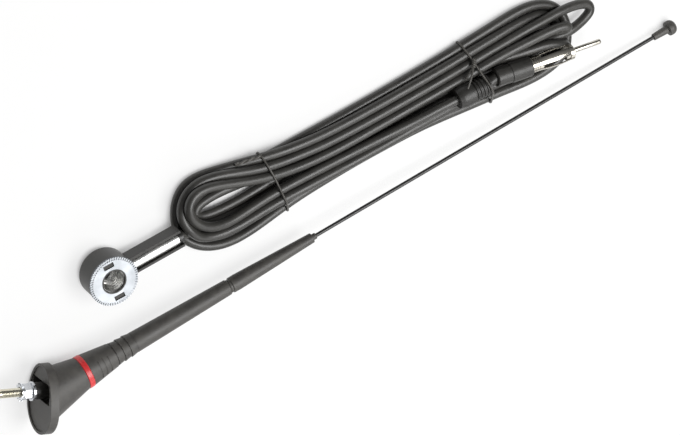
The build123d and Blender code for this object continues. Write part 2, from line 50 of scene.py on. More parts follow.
def linear(hex_colour):
    """sRGB hex text as linear RGBA."""
    out = []
    for at in (1, 3, 5):
        c = int(hex_colour[at:at + 2], 16) / 255
        out.append(c / 12.92 if c <= 0.04045 else ((c + 0.055) / 1.055) ** 2.4)
    return (*out, 1.0)


def add(tree, kind, settings=None, **links):
    """Adds a node; settings are its attributes or socket values, links its input sockets by name."""
    node = tree.nodes.new(kind)
    for key, value in (settings or {}).items():
        if key in node.inputs:
            node.inputs[key].default_value = value
        else:
            setattr(node, key, value)
    for key, source in links.items():
        tree.links.new(source, node.inputs[key.replace("_", " ")])
    return node


def finish_of(name, light, dark, roughness, grain_mm, bump_mm, metallic=0.0, ior=1.5):
    """Material with a mottled tone and gloss and a fine moulded, cast or drawn grain; sizes in mm."""
    material = bpy.data.materials.new(name)
    material.use_nodes = True
    tree = material.node_tree
    shader = tree.nodes["Principled BSDF"]
    shader.inputs["Metallic"].default_value = metallic
    if metallic == 0:
        shader.inputs["IOR"].default_value = ior
    place = add(tree, "ShaderNodeTexCoord").outputs["Object"]
    patch_mm = grain_mm * 14
    patches = add(tree, "ShaderNodeTexNoise", {"Scale": 1000 / patch_mm, "Detail": 4.0}, Vector=place)
    tone = add(tree, "ShaderNodeValToRGB", None, Fac=patches.outputs["Fac"])
    tone.color_ramp.elements[0].position = 0.3
    tone.color_ramp.elements[0].color = linear(dark)
    tone.color_ramp.elements[1].position = 0.7
    tone.color_ramp.elements[1].color = linear(light)
    tree.links.new(tone.outputs["Color"], shader.inputs["Base Color"])
    vary = 0.06
    spread = {"From Min": 0.3, "From Max": 0.7, "To Min": roughness - vary, "To Max": roughness + vary}
    gloss = add(tree, "ShaderNodeMapRange", spread, Value=patches.outputs["Fac"])
    tree.links.new(gloss.outputs["Result"], shader.inputs["Roughness"])
    grain = add(tree, "ShaderNodeTexNoise", {"Scale": 1000 / grain_mm, "Detail": 2.0}, Vector=place)
    relief = {"Strength": 1.0, "Distance": bump_mm / 1000}
    bump = add(tree, "ShaderNodeBump", relief, Height=grain.outputs["Fac"])
    tree.links.new(bump.outputs["Normal"], shader.inputs["Normal"])
    return material


def put_up(name, bm, material, body, stands_for, sharp=32.0):
    """Makes the piece from its mesh, smooth but for its sharp edges, hangs it on its body and hides the node it
    stands for.
    """
    for face in bm.faces:
        face.smooth = True
    for edge in bm.edges:
        edge.smooth = edge.calc_face_angle(0.0) < math.radians(sharp)
    mesh = bpy.data.meshes.new(name)
    bm.to_mesh(mesh)
    bm.free()
    mesh.materials.append(material)
    piece = bpy.data.objects.new(name, mesh)
    bpy.context.collection.objects.link(piece)
    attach(piece, body)
    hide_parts(stands_for)
    return piece


def dressed(node, material, body, edge_mm=0.0, sharp=32.0):
    """A smooth copy of a CAD node with its sharp edges rounded, which stands for the node."""
    bm = bmesh.new()
    bm.from_mesh(nodes[node].data)
    bmesh.ops.remove_doubles(bm, verts=bm.verts, dist=2e-6)
    bmesh.ops.dissolve_limit(bm, angle_limit=math.radians(0.4), verts=bm.verts, edges=bm.edges)
    piece = put_up(node + "_piece", bm, material, body, node, sharp)
    if edge_mm > 0:
        bevel = piece.modifiers.new("mould_radius", "BEVEL")
        bevel.width = edge_mm / 1000
        bevel.segments = 3
        bevel.limit_method = "ANGLE"
        bevel.angle_limit = math.radians(sharp)
        bevel.harden_normals = True
        bevel.use_clamp_overlap = True
    return piece


rubber = finish_of("moulded_epdm_rubber", "#54524e", "#444240", 0.5, 0.35, 0.02)
dressed("foot_boot", rubber, "foot", 0.9)

# Core of the foot: a zinc casting with the mast's thread and a boss for the stud, inside the rubber.
# Cast zinc is grey and a little rough, with a dull metal shine.
casting = finish_of("zinc_casting", "#9a9b9c", "#7d7e80", 0.45, 0.5, 0.03, metallic=1.0)
dressed("foot_core", casting, "foot", 0.15)

# Roof stud: M5 steel stud with rolled thread and a plain point, cast into the core.
# Its yellow passivated plating shines like pale brass.


def frame_at(origin_mm, axis, towards):
    """Place with local Z along an axis and local X on the side of another direction, for mm meshes."""
    z = Vector(axis).normalized()
    x = (Vector(towards) - z * z.dot(Vector(towards))).normalized()
    turn = Matrix((x, z.cross(x), z)).transposed().to_4x4()
    return Matrix.Translation(Vector(origin_mm) / 1000) @ turn @ Matrix.Scale(0.001, 4)


def lathe(bm, profile, start_deg=0.0, arc_deg=360.0, steps=64):
    """Turns a closed profile of (radius, height) corners about local Z, wholly or over an arc."""
    turn = Matrix.Rotation(math.radians(start_deg), 3, "Z")
    verts = [bm.verts.new(turn @ Vector((r, 0, z))) for r, z in profile]
    edges = [bm.edges.new((a, b)) for a, b in zip(verts, verts[1:] + verts[:1])]
    whole = arc_deg >= 360
    if not whole:
        bm.faces.new(verts)
    bmesh.ops.spin(bm, geom=verts + edges, cent=(0, 0, 0), axis=(0, 0, 1), dvec=(0, 0, 0),
                   angle=math.radians(arc_deg), steps=steps, use_merge=whole, use_duplicate=False)


def helix(bm, section, pitch, turns, steps_a_turn=24):
    """Winds a closed section of (radius, height) corners up local Z. Its two ends stay open."""
    verts = [bm.verts.new((r, 0, z)) for r, z in section]
    edges = [bm.edges.new((a, b)) for a, b in zip(verts, verts[1:] + verts[:1])]
    steps = round(turns * steps_a_turn)
    bmesh.ops.spin(bm, geom=verts + edges, cent=(0, 0, 0), axis=(0, 0, 1), dvec=(0, 0, pitch / steps_a_turn),
                   angle=2 * math.pi * turns, steps=steps, use_merge=False, use_duplicate=False)


def closed_up(bm, place):
    """Merges a wound or turned mesh, fills its open ends, faces it outwards and puts it in its place."""
    bmesh.ops.remove_doubles(bm, verts=bm.verts, dist=1e-4)
    bmesh.ops.holes_fill(bm, edges=[e for e in bm.edges if e.is_boundary], sides=0)
    bmesh.ops.recalc_face_normals(bm, faces=bm.faces)
    bmesh.ops.transform(bm, matrix=place, verts=bm.verts)


def in_mm(metres):
    """A place of the frame in millimetres."""
    return Vector(metres) * 1000


THREAD_R = 2.48
ROOT_R = 2.2
PITCH = 0.8
SUNK = 0.3
CREST = (0.34, 0.44)
RIDGE_W = 0.76
FLANK = [(ROOT_R - SUNK, 0), (ROOT_R, 0), (THREAD_R, CREST[0]), (THREAD_R, CREST[1]), (ROOT_R, RIDGE_W),
         (ROOT_R - SUNK, RIDGE_W)]
mounts = {mount["name"]: mount for mount in frame["record"]["mounts"]}
joints = {joint["name"]: joint for joint in frame["joints"]}
point = mounts["stud_point"]
stud_up = -Vector(point["axis"])
thread_end = in_mm(point["pos_m"]) + stud_up * point["dims"]["length_mm"] / 2
POINT_R = point["dims"]["r_mm"]
POINT_L = 4.0
STUD_L = 33.7
BARE_FROM = 19.2
CHAMFER = 0.5
RUN_OUT = 0.2
brass = finish_of("yellow_passivated_steel", "#e9e5d6", "#d6d0bb", 0.24, 0.5, 0.004, metallic=1.0)
bm = bmesh.new()
lathe(bm, [(0, -POINT_L), (POINT_R - CHAMFER, -POINT_L), (POINT_R, CHAMFER - POINT_L), (POINT_R, 0),
           (ROOT_R, 0), (ROOT_R, BARE_FROM), (THREAD_R, BARE_FROM), (THREAD_R, STUD_L), (0, STUD_L)])
helix(bm, FLANK, PITCH, (BARE_FROM - RUN_OUT) / PITCH)
closed_up(bm, frame_at(thread_end, stud_up, (0, 0, 1)))
put_up("roof_stud_piece", bm, brass, "foot", "roof_stud", 50)

# Insulating bush: black nylon, moulded, pushed up round the stud so that the stud keeps off the roof.
# Moulded nylon is smooth and half glossy.
nylon = finish_of("moulded_black_nylon", "#3a3936", "#2c2b29", 0.4, 0.4, 0.012)
dressed("stud_insulator", nylon, "foot", 0.3)

# Flat washer, hexagon nut and toothed washer: steel, stamped or cold headed, then bright zinc plated.
# Fresh zinc is a pale mirror with a faint blue, slightly softened by the plating's grain.
zinc = finish_of("bright_zinc_plate", "#dfe1e4", "#c6c9cd", 0.22, 0.6, 0.006, metallic=1.0)
dressed("flat_washer", zinc, "foot", 0.2)
dressed("clamp_nut", zinc, "nut", 0.15)
dressed("star_washer", zinc, "star", 0.12)

# Red ring: polypropylene, moulded, a plain ring that is clamped between the foot and the mast.
# The colour goes right through it and its skin is half glossy.
red = finish_of("red_polypropylene", "#e23c3e", "#d53336", 0.34, 0.6, 0.008)
dressed("red_ring", red, "ring", 0.5)

# Mast stud: brass-plated steel pin with an M5 thread, and a ferrule that is crimped on the coil former.
# It is hidden, but its thread comes into view when the mast is screwed out of the foot.
FERRULE_R = 4.0
FERRULE_L = 20.0
PIN_L = 15.2
PIN_CHAMFER = 0.3
PIN_RUN_OUT = 1.2
mast_foot = in_mm(joints["mast_turn"]["pos_m"])
mast_axis = Vector(joints["mast_turn"]["axis"])
mast_place = frame_at(mast_foot, mast_axis, (0, 0, 1))
bm = bmesh.new()
lathe(bm, [(0, -PIN_L), (ROOT_R - PIN_CHAMFER, -PIN_L), (ROOT_R, PIN_CHAMFER - PIN_L), (ROOT_R, 0),
           (FERRULE_R, 0), (FERRULE_R, FERRULE_L), (0, FERRULE_L)])
pin_flank = [(r, z + PIN_CHAMFER - PIN_L) for r, z in FLANK]
helix(bm, pin_flank, PITCH, (PIN_L - PIN_RUN_OUT) / PITCH)
closed_up(bm, mast_place)
put_up("mast_stud_piece", bm, brass, "mast", "mast_stud", 50)

# Coil former and loading coil: a glass-fibre rod with one layer of enamelled copper wire wound on it.
# Both are hidden in the rubber. The rod is pale and matt, the enamel gives the copper a brown gloss.
WIRE_R = 0.36
WIRE_SIDES = 8
WINDING_R = 2.62
WINDING = (25.2, 72.6)
WINDING_PITCH = 0.86
fibre = finish_of("glass_fibre_rod", "#c9c6a8", "#b5b193", 0.5, 0.5, 0.01)
dressed("coil_former", fibre, "mast")
copper = finish_of("enamelled_copper_wire", "#a5552c", "#8c4421", 0.3, 0.5, 0.004, metallic=1.0)
bm = bmesh.new()
ring = [math.radians(360 * corner / WIRE_SIDES) for corner in range(WIRE_SIDES)]
section = [(WINDING_R + WIRE_R * math.cos(a), WINDING[0] + WIRE_R * math.sin(a)) for a in ring]
helix(bm, section, WINDING_PITCH, (WINDING[1] - WINDING[0]) / WINDING_PITCH, 20)
closed_up(bm, mast_place)
put_up("loading_coil_piece", bm, copper, "mast", "loading_coil", 60)

# Mast boot, upper sleeve and tip: the same rubber as the foot, moulded over the coil and the rod.
# The boot has grip grooves and barbs, and the tip is a small button that is glued on the rod.
dressed("mast_boot", rubber, "mast", 0.22)
dressed("upper_sleeve", rubber, "mast", 0.3)
dressed("tip_cap", rubber, "mast", 0.25)

# Whip rod: spring steel wire, let into the former and lacquered black.
# The lacquer is smooth, so the rod carries one thin bright line along it.
lacquer = finish_of("black_lacquer", "#2f2e2d", "#242322", 0.34, 0.5, 0.003)
dressed("whip_rod", lacquer, "mast", 0.1)

# Clamp cup: black glass-filled nylon, moulded with its trough arm and with two tabs that hold the ring.
# The ring is stamped from zinc-plated steel, with teeth round its rim that bite into the roof. Its face is
# duller than the nut's, so it is pale and even, and the side faces of its teeth get a darker grey as painted
# shade.
TEETH_FROM_R = 12.5
EDGE_FACING = 0.5
stamped = finish_of("stamped_zinc_plate", "#c6cace", "#b2b6bb", 0.36, 0.5, 0.006, metallic=1.0)
dressed("clamp_cup", nylon, "foot", 0.35)
ground_ring = dressed("ground_ring", stamped, "foot", 0.05)
hole = mounts["cup_stud_hole"]
cup_axis = Vector(hole["axis"])
cup_back = in_mm(hole["pos_m"]) - cup_axis * hole["dims"]["length_mm"] / 2
# Painted shade: a darker grey steel on the side faces of the rim's teeth, in place of their shading.
painted_tooth_shade = finish_of("painted_shade_tooth_sides", "#6d7074", "#595c60", 0.45, 0.4, 0.006, metallic=1.0)
ground_ring.data.materials.append(painted_tooth_shade)
for face in ground_ring.data.polygons:
    off = in_mm(face.center) - cup_back
    at_rim = (off - cup_axis * off.dot(cup_axis)).length > TEETH_FROM_R
    if at_rim and abs(face.normal.dot(cup_axis)) < EDGE_FACING:
        face.material_index = 1

# Contact bush: brass, turned and threaded inside, nickel plated, pressed into the cup under the ring.
# Turned nickel is bright and a little soft. The mouth is countersunk, so it shows dark and bright sides.
BUSH_R = 6.27
BUSH_FROM = 5.02
BUSH_TO = 15.3
BUSH_BORE_R = 5.18
BUSH_FLOOR = 6.5
MOUTH = 1.3
LIP = 0.2
PLAY = 0.02
BUSH_CREST_R = 4.75
BUSH_RIDGE_W = 1.5
BUSH_PITCH = 1.9
HOLE_R = hole["dims"]["r_mm"]
cup_place = frame_at(cup_back, cup_axis, (1, 0, 0))
turned = finish_of("turned_nickel_plate", "#e6e6e4", "#d2d2d0", 0.28, 0.7, 0.004, metallic=1.0)
bm = bmesh.new()
lathe(bm, [(HOLE_R + PLAY, BUSH_FROM), (BUSH_R, BUSH_FROM), (BUSH_R, BUSH_TO), (BUSH_R - LIP, BUSH_TO),
           (BUSH_BORE_R, BUSH_TO - MOUTH), (BUSH_BORE_R, BUSH_FLOOR), (HOLE_R + PLAY, BUSH_FLOOR)])
ridge_foot = BUSH_FLOOR + 0.1
ridge = [(BUSH_BORE_R + SUNK, 0), (BUSH_BORE_R, 0), (BUSH_CREST_R, 0.6), (BUSH_CREST_R, 0.9),
         (BUSH_BORE_R, BUSH_RIDGE_W), (BUSH_BORE_R + SUNK, BUSH_RIDGE_W)]
ridge_run = BUSH_TO - MOUTH - ridge_foot - BUSH_RIDGE_W
helix(bm, [(r, z + ridge_foot) for r, z in ridge], BUSH_PITCH, ridge_run / BUSH_PITCH, 40)
closed_up(bm, cup_place)
put_up("contact_bush_piece", bm, turned, "foot", "contact_bush", 40)

# Braid crimp and ferrule: a nickelled tube squeezed on the cable's braid, in the arm's trough, and a short
# black ferrule that stops the cable at the end of the arm.
dressed("braid_crimp", turned, "foot", 0.2)
dressed("cable_ferrule", lacquer, "foot", 0.2)

# Strain relief, neck and boot of the radio plug: soft vinyl with ribs so that it bends, moulded on the
# cable, then a short neck and a stepped nylon boot. Vinyl is dark with a broad soft shine.
vinyl = finish_of("soft_black_vinyl", "#353432", "#2a2927", 0.42, 0.45, 0.012)
dressed("plug_strain_relief", vinyl, "foot", 0.4)
dressed("plug_neck", nylon, "foot", 0.2)
dressed("plug_boot", nylon, "foot", 0.35)

# Barrel of the plug: brass sheet, rolled, with four bulged spring leaves between a ribbed rear tube and a
# front ring, nickel plated. Through the gaps between the leaves the dark inside shows.
BARREL_R = 4.4
FRONT_R = BARREL_R + 0.1
BARREL_BORE_R = 3.7
BULGE_R = 5.0
BARREL_REAR = -32.4
RIBS_AT = (-25.6, -24.2, -22.8)
LEAF_FROM = -19.9
LEAF_TO = -2.6
LEAF_ARC = 54.0
LEAF_T = 0.5
LEAF_PARTS = 8
GROOVE = 0.3
LEAF_FACES = (-0.27, 0.47, 0.84)
nickel = finish_of("bright_nickel_plate", "#cfcbc2", "#b3afa5", 0.16, 0.7, 0.004, metallic=1.0)
pin = mounts["radio_pin"]
plug_axis = Vector(pin["axis"])
plug_front = in_mm(pin["pos_m"]) - plug_axis * pin["dims"]["length_mm"] / 2
plug_place = frame_at(plug_front, plug_axis, LEAF_FACES)
rear = [(BARREL_BORE_R, BARREL_REAR), (BARREL_R, BARREL_REAR)]
for rib in RIBS_AT:
    rear += [(BARREL_R, rib), (BARREL_R - GROOVE, rib + 0.2)]
    rear += [(BARREL_R - GROOVE, rib + 0.6), (BARREL_R, rib + 0.8)]
rear += [(BARREL_R, LEAF_FROM), (BARREL_BORE_R, LEAF_FROM)]
front = [(BARREL_BORE_R, LEAF_TO), (BARREL_R, LEAF_TO), (FRONT_R, LEAF_TO + 0.3), (FRONT_R, -0.4),
         (BARREL_R - GROOVE, 0), (BARREL_BORE_R, 0)]
bulge = []
for part in range(LEAF_PARTS + 1):
    share = part / LEAF_PARTS
    swell = (BULGE_R - BARREL_R) * math.sin(math.pi * share) ** 0.8
    bulge.append((BARREL_R + swell, LEAF_FROM + (LEAF_TO - LEAF_FROM) * share))
leaf = bulge + [(r - LEAF_T, z) for r, z in reversed(bulge)]
bm = bmesh.new()
lathe(bm, rear)
lathe(bm, front)
for quarter in range(4):
    lathe(bm, leaf, 90 * quarter - LEAF_ARC / 2, LEAF_ARC, 12)
closed_up(bm, plug_place)
put_up("plug_barrel_piece", bm, nickel, "foot", "plug_barrel", 40)

# Insulator and pin of the plug: a white polythene disc in the barrel's mouth, which keeps the pin off the
# barrel, and the turned and nickelled pin that goes into the radio. Polythene is pale and waxy.
polythene = finish_of("white_polythene", "#cfccc4", "#bdb9b0", 0.5, 0.5, 0.006)
dressed("plug_insulator", polythene, "foot", 0.1)
dressed("plug_pin", nickel, "foot", 0.1)

# Coaxial cable: one length of black vinyl-sheathed coax from the cup's crimp to the radio plug, wound in a
# hank of five turns and a run. The extruded sheath is smooth, so each strand carries a broad grey shine.
CABLE_MM = 5.5
route = [
    # Lead: out of the ferrule, down to the floor and along it.
    (-97, 23.5, 10.7), (-91.5, 23.5, 10.7), (-88.4, 23.2, 9.6), (-85.6, 22.4, 7), (-82.6, 21, 4.2),
    (-78.6, 18.6, 2.9), (-72, 15, 2.75), (-62, 11, 2.75), (-50, 8.9, 2.75), (-36, 9.6, 2.75),
    (-18, 11.2, 2.75), (0, 12, 2.75), (45, 12.2, 2.75), (75, 12, 2.75), (100, 11, 2.75),
    (125, 9.8, 2.75),
    # First turn: back along the upper edge and low round the left end, the widest there.
    (140, 9.2, 2.75), (150.4, 10.8, 2.75), (155.6, 17.6, 2.75), (155.2, 26.2, 2.75), (148.6, 32, 3.4),
    (136, 33.4, 5), (122, 33.2, 6.4), (105, 32.6, 7), (85, 32, 7.2), (45, 31.8, 7.2), (10, 32.4, 7.4),
    (-10, 34.2, 7.6), (-30, 37, 7.4), (-44, 39.8, 6), (-55, 42.8, 5), (-66.8, 46.6, 4.2),
    (-75.7, 48.2, 4), (-82, 45.4, 4), (-87, 39.4, 4), (-90.6, 30, 4), (-91, 21.2, 4), (-88, 12.8, 4),
    (-80.4, 5.6, 4), (-69, 1.2, 4), (-59, 0.8, 4), (-46, 2.4, 4), (-32, 5, 3.8), (-18.9, 6, 3.2),
    (-6, 6.2, 3), (20, 6.8, 2.75), (46.4, 6.8, 2.75), (71.6, 5.2, 2.75), (89.8, 3.4, 2.75),
    (103, 1.5, 2.75), (115, -1.1, 2.75), (124.4, -3, 2.75),
    # Second turn: the widest at the right, then inside the first at the left.
    (138.5, -4, 2.75), (148.6, -1.4, 2.75), (157.4, 6.6, 2.75), (161.2, 17.6, 2.75),
    (159.6, 27.2, 2.75), (153.5, 34.8, 3), (145, 38.6, 3.4), (134.8, 39.3, 3.8), (121.4, 38, 3.8),
    (94.7, 36.2, 3.6), (81.5, 35.6, 3.4), (55.4, 34.8, 3), (29.4, 34.6, 2.75), (10.2, 34.6, 2.75),
    (-10, 35, 2.75), (-35, 35.8, 2.75), (-52, 36.8, 3.5), (-67, 38.6, 4.6), (-76, 39.2, 5.2),
    (-82.4, 35.6, 7), (-85, 29.6, 9), (-82.6, 22.8, 9), (-75.6, 17.6, 7.2), (-64, 15.4, 4.2),
    (-50, 15.2, 2.9), (-36, 15.4, 2.75), (-18, 16.6, 2.75), (0, 17.8, 2.75), (30, 17.8, 2.75),
    (60, 17.8, 2.75), (85, 17.2, 2.75), (110, 16.8, 2.75), (130, 16.4, 2.75),
    # Third turn: the loop that reaches farthest to the right, then high round the left end.
    (146, 14.4, 3), (157, 13, 4), (165.6, 13, 4.8), (171.4, 14.6, 5.2), (174.8, 18.4, 5.6),
    (174.6, 22.8, 6), (170.4, 26.2, 6.4), (163.6, 27.8, 7), (154, 28.6, 8), (142, 28.2, 8.4),
    (129, 28.4, 8.4), (116, 27.6, 8.2), (102.8, 27.2, 8), (89.7, 26.6, 8), (60, 26.4, 7.8),
    (30, 26.6, 7.8), (6.2, 27.2, 7.8), (-5.9, 28.6, 8), (-17.9, 30.7, 8.4), (-34.6, 33.6, 9),
    (-52, 40.3, 9.2), (-60.3, 43.6, 9), (-69, 46.8, 9), (-77.4, 46.8, 9.4), (-84.4, 42.2, 10.6),
    (-88.4, 34, 12), (-89, 26.6, 13), (-87.2, 20, 11.4), (-83, 14.6, 8.8), (-78, 12.4, 8.4),
    (-70, 10, 8.2), (-61, 9.6, 8.1), (-51.3, 10.2, 8.1), (-37.6, 11.4, 7.8), (-18, 10.8, 7.4),
    (5, 10, 7.2), (35, 10, 7.2), (60, 9.6, 6), (80, 8, 4.4), (100, 6.2, 2.9), (125, 3.8, 2.75),
    # Fourth turn: a small loop at the right, then the innermost at the left, round the eye.
    (140, 2.2, 2.75), (148.6, 1.6, 3), (153.8, 3.2, 4), (155.4, 7.4, 6), (153, 12, 8.2),
    (147.8, 15.2, 9.6), (142, 16.4, 10.3), (133.6, 16.4, 10), (124, 17.4, 9.4), (112, 20.4, 7),
    (100, 22.4, 4), (80, 23.2, 2.75), (45, 23.4, 2.75), (0, 23.2, 2.75), (-25, 22.2, 2.75),
    (-41.5, 21, 2.75), (-57.8, 20.7, 2.75), (-69, 20, 4), (-75.4, 21, 5.2), (-79.2, 24.4, 6),
    (-79.2, 29.6, 6), (-75.2, 32.6, 5), (-68, 33, 3.8), (-56.5, 31.2, 2.85), (-48, 29.4, 2.75),
    (-40.7, 27.8, 2.75), (-30, 27.8, 2.75), (-10, 28.4, 2.75), (10, 29, 2.75), (50, 29.2, 2.75),
    (85, 28.8, 2.75), (110, 25.8, 2.75), (130, 22, 2.75),
    # Fifth turn: on top of the others at both ends.
    (143, 17.8, 3.6), (150, 15.2, 6.2), (155.4, 15.2, 9.2), (156.8, 18.6, 12), (153.2, 22.4, 12.8),
    (147, 23.2, 12.5), (138, 23.1, 12.2), (125, 23.3, 11.8), (112.4, 23.6, 10.8), (99.4, 23.4, 9.4),
    (87, 22.8, 8.4), (73.9, 22, 7.8), (48.2, 21.4, 7.6), (25, 21, 7.6), (4.2, 21.2, 7.8),
    (-8.3, 22.4, 8.4), (-20.3, 24.4, 9), (-29.2, 26.4, 10), (-43, 31.8, 11), (-53.6, 36.9, 11.4),
    (-64.2, 42.8, 12), (-72, 46, 12.6), (-79, 45.6, 13), (-84, 42, 13.4), (-87, 37, 13.6),
    (-86.8, 31, 13), (-84, 25.4, 11.6), (-80.4, 21.2, 10.4), (-76, 18.4, 9.4), (-68, 15.4, 8.8),
    (-62, 14.8, 8.4), (-55.5, 15.3, 8.2), (-42.2, 16.7, 8), (-29.4, 17, 7.8), (-16.8, 16.6, 7.6),
    (-4.3, 15.8, 7.5), (15, 14.4, 7.6),
    # Tail: up into the plug's strain relief.
    (36, 12.7, 8.3), (50, 13.4, 9.3), (66, 14.2, 11.2), (81, 14, 12.1), (86, 13.7, 12.1),
]


def nurbs(name, points_mm, depth_mm):
    """One open smooth curve along a route in millimetres, with a round section."""
    data = bpy.data.curves.new(name, "CURVE")
    data.dimensions = "3D"
    spline = data.splines.new("NURBS")
    spline.points.add(len(points_mm) - 1)
    for knot, (x, y, z) in zip(spline.points, points_mm):
        knot.co = (x / 1000, y / 1000, z / 1000, 1)
    spline.order_u = 3
    spline.use_endpoint_u = True
    spline.resolution_u = 6
    data.bevel_depth = depth_mm / 1000
    data.bevel_resolution = 5
    data.use_fill_caps = True
    piece = bpy.data.objects.new(name, data)
    bpy.context.collection.objects.link(piece)
    return piece


guide = nurbs("cable_guide", route, 0)
line = bpy.data.meshes.new_from_object(guide)
points = np.array([v.co[:] for v in line.vertices]) * 1000
bpy.data.objects.remove(guide)
bpy.data.meshes.remove(line)

# The turns settle: wherever two strands are nearer than a diameter they push each other apart, the sheath
# keeps its bends smooth, a tight bend at the end of a turn keeps its own round shape, and the floor holds
# the lowest strands up.
SPACING_MM = 3.0
NEIGHBOURS = 6
ROUNDS = 80
PUSH = 0.16
SMOOTHING = 0.3
HOME_PULL = 0.02
TIGHT_FROM = 0.35
TIGHT_RANGE = 0.3
HELD_AT_CUP = 3
HELD_AT_PLUG = 10
steps = np.linalg.norm(np.diff(points, axis=0), axis=1)
along = np.concatenate([[0], np.cumsum(steps)])
count = 2 * int(along[-1] / (2 * SPACING_MM)) + 1
even = np.linspace(0, along[-1], count)
points = np.stack([np.interp(even, along, points[:, axis]) for axis in range(3)], -1)
home = points.copy()
home_bend = (home[:-2] + home[2:]) / 2 - home[1:-1]
tight = np.clip((np.linalg.norm(home_bend, axis=1) - TIGHT_FROM) / TIGHT_RANGE, 0, 1)[:, None]
apart = np.abs(np.arange(count)[:, None] - np.arange(count)[None, :]) > NEIGHBOURS
for _ in range(ROUNDS):
    gap = points[:, None, :] - points[None, :, :]
    distance = np.linalg.norm(gap, axis=2) + 1e-6
    push = np.where(apart & (distance < CABLE_MM), (CABLE_MM - distance) / distance, 0)
    move = (gap * push[:, :, None]).sum(1) * PUSH
    bend = (points[:-2] + points[2:]) / 2 - points[1:-1]
    move[1:-1] += (bend - home_bend * tight) * SMOOTHING
    move += (home - points) * HOME_PULL
    move[:HELD_AT_CUP] = 0
    move[-HELD_AT_PLUG:] = 0
    points += move
    points[:, 2] = np.maximum(points[:, 2], CABLE_MM / 2)
cable = nurbs("coax_cable", [tuple(p) for p in points[::2]], CABLE_MM / 2)
sheath = finish_of("extruded_vinyl_sheath", "#403f3c", "#343331", 0.36, 0.6, 0.006)
cable.data.materials.append(sheath)
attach(cable, "foot")
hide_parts("cable_hank", "cable_lead", "cable_tail")

# Wire ties: plastic-coated wire, drawn tight round the bundle by hand and twisted off. The left one ends in
# a short twist along the hank, the right one holds the plug's ribs too and has a knot with two tails.
# The coating is dark grey and half matt.
TIE_MM = 1.15
TIE_STEP = 1.2
SLICE_MM = 2.0
ROUND_PARTS = 24
TWIST_PARTS = 8
coated = finish_of("coated_tie_wire", "#5a5854", "#474541", 0.45, 0.4, 0.01)


def bundle_top(x, y):
    """Height of the highest strand at a place in plan, in mm."""
    reach = (CABLE_MM / 2) ** 2 - (points[:, 0] - x) ** 2 - (points[:, 1] - y) ** 2
    over = reach > 0
    return float((points[over, 2] + np.sqrt(reach[over])).max()) if over.any() else 0.0


def turns_in(first, second, third):
    """Whether a wire round the outside would not touch the second of three spots."""
    run = (second[0] - first[0], second[1] - first[1])
    return run[0] * (third[1] - first[1]) - run[1] * (third[0] - first[0]) <= 0


def tight_loop(middle, turn_deg, extra):
    """Corners of a wire drawn tight round the strands that cross an upright plane."""
    across = np.array([-math.sin(math.radians(turn_deg)), math.cos(math.radians(turn_deg))])
    normal = np.array([across[1], -across[0]])
    offset = (points[:, :2] - middle) @ normal
    near = np.abs(offset) < SLICE_MM
    rounds = [(s, z, CABLE_MM / 2) for s, z in zip((points[near, :2] - middle) @ across, points[near, 2])]
    rounds += extra
    cloud = []
    for s, z, r in rounds:
        reach = r + TIE_MM / 2
        for part in range(ROUND_PARTS):
            angle = 2 * math.pi * part / ROUND_PARTS
            cloud.append((s + reach * math.cos(angle), max(z + reach * math.sin(angle), TIE_MM / 2)))
    cloud = sorted(set(cloud))
    chains = []
    for order in (cloud, cloud[::-1]):
        chain = []
        for spot in order:
            while len(chain) > 1 and turns_in(chain[-2], chain[-1], spot):
                chain.pop()
            chain.append(spot)
        chains.append(chain[:-1])
    hull = chains[1] + chains[0]
    return [(middle[0] + across[0] * s, middle[1] + across[1] * s, z) for s, z in hull]


def evenly(corners, spacing):
    """Points at a steady spacing along a line of corners."""
    corners = np.array(corners)
    run = np.concatenate([[0], np.cumsum(np.linalg.norm(np.diff(corners, axis=0), axis=1))])
    at = np.linspace(0, run[-1], max(int(run[-1] / spacing), 2))
    return np.stack([np.interp(at, run, corners[:, axis]) for axis in range(3)], -1)


def twist(start, end, radius, pitch):
    """Two wires twisted round each other from one place to another."""
    start = Vector(start)
    way = Vector(end) - start
    side = way.cross(Vector((0, 0, 1))).normalized()
    rise = side.cross(way).normalized()
    lines = []
    for phase in (0, math.pi):
        line = []
        for part in range(int(way.length * TWIST_PARTS / pitch) + 1):
            angle = phase + 2 * math.pi * part / TWIST_PARTS
            spot = start + way.normalized() * part * pitch / TWIST_PARTS
            line.append(tuple(spot + side * radius * math.cos(angle) + rise * radius * math.sin(angle)))
        lines.append(line)
    return lines


def wire_piece(node, lines):
    """One mesh from several bent wires, which stands for a tie's node."""
    bm = bmesh.new()
    for line in lines:
        bent = nurbs("bent_wire", [tuple(p) for p in line], TIE_MM / 2)
        bent.data.resolution_u = 3
        bent.data.splines[0].resolution_u = 3
        bent.data.bevel_resolution = 2
        mesh = bpy.data.meshes.new_from_object(bent)
        bm.from_mesh(mesh)
        bpy.data.objects.remove(bent)
        bpy.data.meshes.remove(mesh)
    bmesh.ops.remove_doubles(bm, verts=bm.verts, dist=1e-6)
    return put_up(node + "_piece", bm, coated, "foot", node, 60)


LEFT_MIDDLE = (-31.0, 22.0)
LEFT_TURN = 6.0
TWIST_TO = (-48.5, 43.4)
TWIST_R = 0.5
TWIST_PITCH = 9.0
left = tight_loop(np.array(LEFT_MIDDLE), LEFT_TURN, [])
left_start = max(left, key=lambda p: p[1] + p[2])
begin = left.index(left_start)
left = left[begin:] + left[:begin + 1]
twist_end = (*TWIST_TO, bundle_top(*TWIST_TO) + 1.0)
twist_from = (left_start[0] - 0.6, left_start[1], left_start[2] + 0.5)
wire_piece("left_tie", [evenly(left, TIE_STEP)] + twist(twist_from, twist_end, TWIST_R, TWIST_PITCH))

